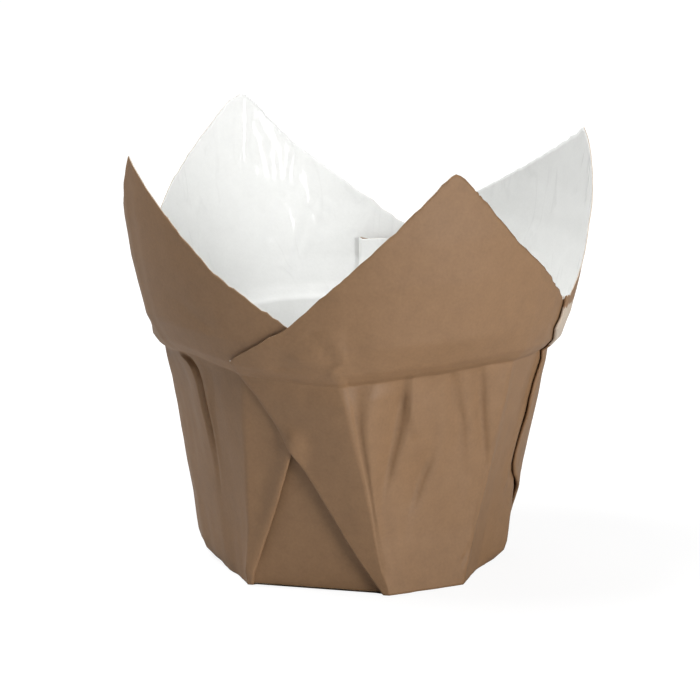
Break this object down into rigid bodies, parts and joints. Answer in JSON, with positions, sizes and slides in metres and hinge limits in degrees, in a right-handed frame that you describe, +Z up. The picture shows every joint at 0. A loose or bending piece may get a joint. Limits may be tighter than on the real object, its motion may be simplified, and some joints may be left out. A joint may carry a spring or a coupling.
{
  "type": "tulip baking cup",
  "caption": "Paper baking cup pressed from one square sheet, with a flat eight-sided base, box-pleated walls, a stepped shoulder and pointed petals standing above the rim.",
  "frame": {"origin": "centre of the flat base, on its underside", "axes": "+Z up out of the cup's mouth; -Y toward the front petal, +X toward the right petal, +Y toward the back petal and -X toward the left petal"},
  "size_m": [0.0771, 0.0777, 0.0708],
  "materials": {
    "paper": "matt brown outside, glossy white release coating inside"
  },
  "bodies": {
    "root": {"tulip_cup": "paper"}
  },
  "joints": []
}
